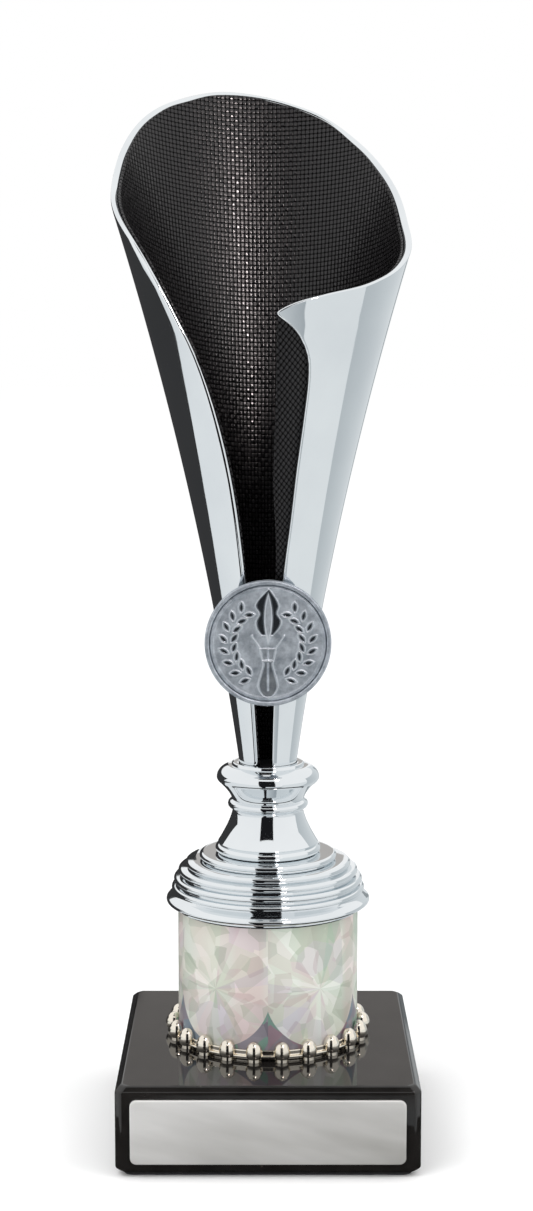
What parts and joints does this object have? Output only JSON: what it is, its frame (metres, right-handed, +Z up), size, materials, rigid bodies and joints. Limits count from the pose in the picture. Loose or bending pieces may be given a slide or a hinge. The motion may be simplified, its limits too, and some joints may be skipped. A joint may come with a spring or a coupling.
{
  "type": "cup trophy",
  "caption": "Rolled-cone presentation cup with a woven-look liner and a medallion, on a turned stem, stepped cap, prismatic column, beaded collar and stone base with a blank plate.",
  "frame": {"origin": "on the resting face of the felt, directly under the axis of the column and the cup", "axes": "+Z up along the column's axis, -Y towards the front with the nameplate and the medallion, +X to the viewer's right"},
  "size_m": [0.0621, 0.0753, 0.2147],
  "materials": {
    "marble": "polished",
    "felt": "matte",
    "satin_plate": "satin",
    "tape": "matte",
    "zinc_steel": "satin",
    "chromed_plastic": "polished",
    "plain_plastic": "gloss",
    "prismatic_film": "gloss",
    "woven_liner": "satin",
    "dark_plastic": "matte",
    "medal_metal": "satin"
  },
  "bodies": {
    "root": {"base_block": "marble", "base_felt": "felt", "nameplate": "satin_plate", "nameplate_tape": "tape", "tie_rod": "zinc_steel", "base_washer": "zinc_steel", "base_lock_washer": "zinc_steel", "base_nut": "zinc_steel", "bead_collar": "chromed_plastic", "column_tube": "plain_plastic", "column_foil": "prismatic_film", "stepped_cap": "chromed_plastic", "stem": "chromed_plastic", "stem_nut": "zinc_steel", "cup_shell": "chromed_plastic", "cup_liner": "woven_liner", "cup_plug": "dark_plastic", "medallion_holder": "medal_metal", "medallion": "medal_metal", "medallion_tape": "tape"}
  },
  "joints": []
}
